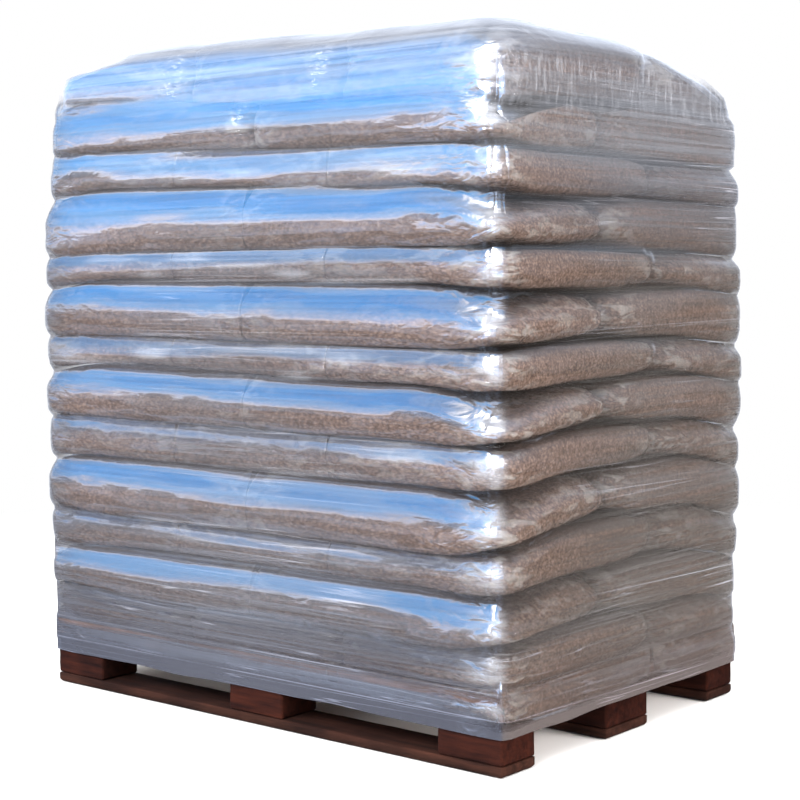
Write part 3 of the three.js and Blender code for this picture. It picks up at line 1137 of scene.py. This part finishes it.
# How much of the way it is drawn straight over the hollows between the sacks, of this many rows and columns
SHEET_TIGHTNESS = 0.85
SHEET_BRIDGE = (6, 9)


def sheet_dome():
    """Rows of starts over the top layer, from its foot to its middle, and the directions to it."""
    starts = []
    directions = []
    for angle in np.linspace(SHEET_START_ANGLE, math.pi / 2, SHEET_ROWS):
        lean = max(angle, 0)
        inset = SHEET_REACH_IN * (1 - math.cos(lean))
        half_x = LOAD_HALF_X + SHEET_OUT - inset
        half_y = LOAD_HALF_Y + SHEET_OUT - inset
        corner = max(0.11 - 0.35 * inset, 0.06)
        plan, normals = outline(half_x, half_y, corner, SHEET_SIDE_POINTS, SHEET_CORNER_POINTS)
        floor = boundary(LAYERS - 1, lifted(plan))
        floor += (LAYER_FLOORS[-1] - floor) * math.sin(lean)
        rise = SHEET_FOOT + SHEET_REACH_UP * math.sin(lean) + min(angle, 0) * 0.2
        starts.append(lifted(plan, floor + rise))
        directions.append(lifted(-normals * math.cos(lean), -math.sin(lean)))
    return np.array(starts), np.array(directions)


def make_top_sheet(things):
    """The sheet over the top layer, from the hem of its skirt to the crown."""
    starts, directions = sheet_dome()
    depth = depth_grid(solid_tree(things), starts, directions, SHEET_DEPTH)
    touching = window_extreme(depth, 1, 1, np.minimum)
    bridged = drawn_over(depth, *SHEET_BRIDGE)
    film = depth + (np.minimum(bridged, depth) - depth) * SHEET_TIGHTNESS
    film = np.minimum(blurred(film, 2, 4), touching) - SHEET_CLEARANCE
    rows = starts + directions * film[..., None]
    points = np.concatenate([rows.reshape(-1, 3), [rows[-1].mean(0)]])
    around = rows.shape[1]
    count = SHEET_ROWS * around
    faces = ring_faces(SHEET_ROWS, around) + fan_faces(count - around, around, count)
    sheet = new_object("top_film_sheet", points, faces)
    rise = smoothstep(0.04, 0.13, points[:, 2] - LAYER_FLOORS[-1])
    near = near_corner(points)
    end_face = 1 - long_side_share(points)
    whole = smoothstep(-35 * MM, 0, points[:, 2] - boundary(LAYERS - 1, points))
    haze = 0.15 - 0.09 * end_face * (1 - rise) + 0.2 * rise
    # White of the sheet, with a painted highlight at the near corner
    white = 0.20 + (0.22 - 0.18 * end_face) * rise + 0.25 * near - 0.12 * end_face
    add_attribute(sheet, "haze", haze * whole)
    add_attribute(sheet, "white", white * whole)
    add_attribute(sheet, "crumple", 0.15 * load_corner(points) + 0.7 * near)
    add_attribute(sheet, "gather", 0.2 * (1 - rise) * end_face * whole)
    add_attribute(sheet, "cover", whole)
    sheet.data.materials.append(film_material)
    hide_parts("top_sheet")
    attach(sheet, "root")
    return sheet


# Pallet

WOOD_STEP = 18 * MM
WOOD_ROUNDING = 2.5 * MM
BLOCK_ROUNDING = 5 * MM
FOOT_ROUNDING = 12 * MM
WOOD_WEAR = 1.2 * MM
# Grain along each axis, as texture cells per metre
GRAIN_ALONG_X = (5, 70, 70)
GRAIN_ALONG_Y = (70, 5, 70)
# Each kind of wood by the first word of its pieces: name, dark and light colour, and grain
WOODS = {
    # The bottom boards and blocks, low under the load, are far darker than the deck and stringers: partly
    # darker wood, partly painted shade
    "bottom": ("bottom_board_wood_painted_shade", (0.010, 0.004, 0.0025), (0.045, 0.016, 0.010), GRAIN_ALONG_X),
    "stringer": ("stringer_wood", (0.10, 0.05, 0.035), (0.32, 0.17, 0.12), GRAIN_ALONG_Y),
    "deck": ("deck_wood", (0.14, 0.08, 0.055), (0.42, 0.25, 0.18), GRAIN_ALONG_X),
    "block": ("block_wood", (0.007, 0.0015, 0.001), (0.038, 0.008, 0.0035), GRAIN_ALONG_X),
}
WOOD_STAINS = [(0.35, (0.45, 0.42, 0.42)), (0.6, (1, 1, 1))]

wear_noise = SmoothNoise(41, (0.03, 0.03, 0.012))


def make_wood_material(name, dark, light, grain_scale):
    """Rough, worn wood whose grain runs along the axis with the smallest scale."""
    material = bpy.data.materials.new(name)
    nodes = Nodes(material)
    grain = nodes.noise((0, 0, 0), grain_scale, 6.0, 0.7)
    stain = nodes.ramp(nodes.noise((0, 0, 0), (9, 9, 9), 4.0), WOOD_STAINS)
    color = nodes.mix(0.8, nodes.ramp(grain, [(0.3, dark), (0.7, light)]), stain, "MULTIPLY")
    nodes.output(nodes.shader("BsdfPrincipled", {
        "Base Color": color, "Roughness": 0.85, "Specular IOR Level": 0.12,
        "Normal": nodes.bump(grain, 0.7, 2 * MM)}))
    return material


def lattice_line(low, high, rounding):
    """Places along one axis of a rounded box, close together where its edges are rounded."""
    steps = max(int((high - low - 2 * rounding) / WOOD_STEP), 4)
    edge = rounding * np.array([0, 0.3, 0.65])
    middle = np.linspace(low + rounding, high - rounding, steps + 1)
    return np.concatenate([low + edge, middle, high - edge[::-1]])


def rounded_box(name, low, high, rounding, foot_rounding=0):
    """A box with rounded edges, worn and sawn unevenly, all inside its sizes."""
    lines = [lattice_line(low[axis], high[axis], rounding) for axis in range(3)]
    counts = [len(line) for line in lines]
    numbers = {}
    vertices = []
    faces = []

    def vertex(place):
        if place not in numbers:
            numbers[place] = len(vertices)
            vertices.append([lines[axis][place[axis]] for axis in range(3)])
        return numbers[place]

    for axis in range(3):
        u, v = (axis + 1) % 3, (axis + 2) % 3
        for end in (0, counts[axis] - 1):
            for i, j in product(range(counts[u] - 1), range(counts[v] - 1)):
                quad = []
                for di, dj in ((0, 0), (1, 0), (1, 1), (0, 1)):
                    place = [0, 0, 0]
                    place[axis] = end
                    place[u] = i + di
                    place[v] = j + dj
                    quad.append(vertex(tuple(place)))
                faces.append(quad if end else quad[::-1])
    points = np.array(vertices)
    core = np.clip(points, np.array(low) + rounding, np.array(high) - rounding)
    outward = points - core
    outward /= np.linalg.norm(outward, axis=1, keepdims=True)
    wear = 0.5 + 0.5 * wear_noise(points)
    sharp = 1 - np.abs(outward).max(axis=1)
    points = core + outward * (rounding - WOOD_WEAR * wear * (0.5 + 3 * sharp))[:, None]
    if foot_rounding:
        cut_foot(points, np.array(low), np.array(high), foot_rounding)
    return new_object(name, points, faces)


def cut_foot(points, low, high, radius):
    """Rounds off the lower edges of a board that lies on the floor."""
    inset = radius * (1 - quarter_round((points[:, 2] - low[2]) / radius))
    for axis in (0, 1):
        points[:, axis] = np.clip(points[:, axis], low[axis] + inset, high[axis] - inset)


def wood_kind(name):
    return name.split("_")[0]


def make_pallet():
    """Every board and block of the pallet, rough sawn and worn."""
    for name in wood_names:
        low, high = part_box(name)
        if wood_kind(name) == "block":
            piece = rounded_box(name + "_worn", low, high, BLOCK_ROUNDING)
        else:
            foot = FOOT_ROUNDING if wood_kind(name) == "bottom" else 0
            piece = rounded_box(name + "_worn", low, high, WOOD_ROUNDING, foot)
        piece.data.materials.append(wood_materials[wood_kind(name)])
        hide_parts(name)
        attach(piece, "root")


# Stage

# Colours of the sky and of the ground under it by how high they stand, on its open side and elsewhere
OPEN_SKY = [
    (0.44, (0.10, 0.09, 0.09)), (0.492, (0.25, 0.22, 0.22)), (0.508, (2.5, 2.6, 3.0)),
    (0.525, (1.2, 1.6, 2.5)), (0.58, (0.45, 1.4, 2.8)), (0.66, (0.10, 1.15, 2.85)),
    (0.80, (0.03, 0.9, 2.5)), (1.0, (0.6, 1.2, 2.1)),
]
GREY_SKY = [
    (0.44, (0.04, 0.035, 0.03)), (0.51, (0.12, 0.13, 0.15)), (0.75, (0.25, 0.29, 0.36)),
    (1.0, (0.6, 0.75, 1.0)),
]
CLOUD = (1.4, 1.8, 2.5, 1)
FAR_COLOR = (1.35, 1.5, 1.8, 1)
GLOW_COLOR = (4.2, 4.2, 4.4, 1)
PLAIN_LIGHT = (1.5, 1.5, 1.5, 1)
# Parts of the sky: the way to each one's middle, and the cosines to that way at which it begins and is full.
# The front of the load mirrors the open side, and its top the pale far one. The glow is round the sun.
OPEN_SIDE = ((-0.55, -0.83, 0.0), 0.1, 0.6)
FAR_SIDE = ((-0.64, 0.77, 0.0), 0.5, 0.9)
GLOW_SIDE = ((0.15, -0.75, 0.64), 0.84, 0.96)


def make_floor():
    """A pale floor that fades into the white around it."""
    bpy.ops.mesh.primitive_circle_add(vertices=96, radius=40, fill_type="NGON")
    floor = bpy.context.object
    floor.name = "floor"
    material = bpy.data.materials.new("floor")
    nodes = Nodes(material)
    distance = nodes.vector_math("LENGTH", nodes.source("TexCoord", "Object"))
    far = nodes.spread(distance, 1.0, 3.2, interpolation_type="SMOOTHSTEP")
    pale = nodes.shader("BsdfDiffuse", {"Color": (0.9, 0.9, 0.9, 1)})
    nodes.output(nodes.mix_shader(far, pale, nodes.shader("Emission", {"Color": WHITE, "Strength": 1.0})))
    floor.data.materials.append(material)
    floor.visible_glossy = False


def make_world():
    """White round the load, plain light on it, and a partly cloudy sky for its film to mirror."""
    world = bpy.data.worlds.new("studio")
    bpy.context.scene.world = world
    nodes = Nodes(world)
    way = nodes.source("TexCoord", "Generated")
    height = nodes.spread(nodes.part(way, "Z"), -1.0, 1.0)
    clouds = nodes.add("TexNoise", {"Vector": way, "Scale": 5.0, "Detail": 3.0}).outputs[0]
    sky = nodes.mix(nodes.spread(clouds, 0.48, 0.68, 0.0, 0.4), nodes.ramp(height, OPEN_SKY), CLOUD)
    open_side, far_side, glow = (
        nodes.spread(nodes.vector_math("DOT_PRODUCT", way, middle), begins, full)
        for middle, begins, full in (OPEN_SIDE, FAR_SIDE, GLOW_SIDE)
    )
    around = nodes.mix(open_side, nodes.ramp(height, GREY_SKY), sky)
    mirrored = nodes.mix(glow, nodes.mix(far_side, around, FAR_COLOR), GLOW_COLOR)
    color = nodes.mix(nodes.source("LightPath", "Is Glossy Ray"), PLAIN_LIGHT, mirrored)
    color = nodes.mix(nodes.source("LightPath", "Is Camera Ray"), color, WHITE)
    nodes.output(nodes.shader("Background", {"Color": color, "Strength": 1.0}), "World")


def add_area_light(name, place, target, size, power, color=(1, 1, 1), mirrored=False):
    light = bpy.data.lights.new(name, "AREA")
    light.shape = "DISK"
    light.size = size
    light.energy = power
    light.color = color
    lamp = bpy.data.objects.new(name, light)
    bpy.context.scene.collection.objects.link(lamp)
    lamp.location = place
    lamp.rotation_euler = (Vector(target) - Vector(place)).to_track_quat("-Z", "Y").to_euler()
    lamp.visible_glossy = mirrored


def make_lights():
    """A key light over the front, and a fill for each of the two sides that are seen."""
    add_area_light("key", (1.4, -5.2, 4.0), (0.4, -0.3, 0.7), 2.8, 500, mirrored=True)
    add_area_light("side_fill", (5.2, 0.4, 1.6), (0.6, 0, 0.7), 3.0, 430, (1.0, 0.95, 0.91))
    add_area_light("front_fill", (-1.6, -5.4, 0.9), (-0.1, -0.4, 0.6), 3.0, 220, (1.0, 0.97, 0.95))


def make_camera():
    data = bpy.data.cameras.new("camera")
    data.lens = CAMERA_LENS
    data.sensor_width = CAMERA_SENSOR
    camera = bpy.data.objects.new("camera", data)
    bpy.context.scene.collection.objects.link(camera)
    forward = Vector((
        -math.sin(CAMERA_AZIMUTH) * math.cos(CAMERA_PITCH),
        math.cos(CAMERA_AZIMUTH) * math.cos(CAMERA_PITCH),
        -math.sin(CAMERA_PITCH),
    ))
    right = Vector((math.cos(CAMERA_AZIMUTH), math.sin(CAMERA_AZIMUTH), 0))
    up = right.cross(forward)
    across = math.cos(CAMERA_ROLL) * right + math.sin(CAMERA_ROLL) * up
    upright = -math.sin(CAMERA_ROLL) * right + math.cos(CAMERA_ROLL) * up
    turned = Matrix((across, upright, -forward)).transposed()
    camera.matrix_world = Matrix.Translation(CAMERA_PLACE) @ turned.to_4x4()
    bpy.context.scene.camera = camera


make_camera()
pellet_material = make_pellet_material()
film_material = make_film_material()
wood_materials = {kind: make_wood_material(*look) for kind, look in WOODS.items()}
wood_names = [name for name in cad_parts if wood_kind(name) in WOODS]
sacks = make_sacks()
top_sheet = make_top_sheet(sacks)
make_wrap(sacks + [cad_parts[name] for name in wood_names] + [top_sheet])
make_pallet()
make_floor()
make_world()
make_lights()
bpy.context.scene.view_settings.view_transform = "Standard"
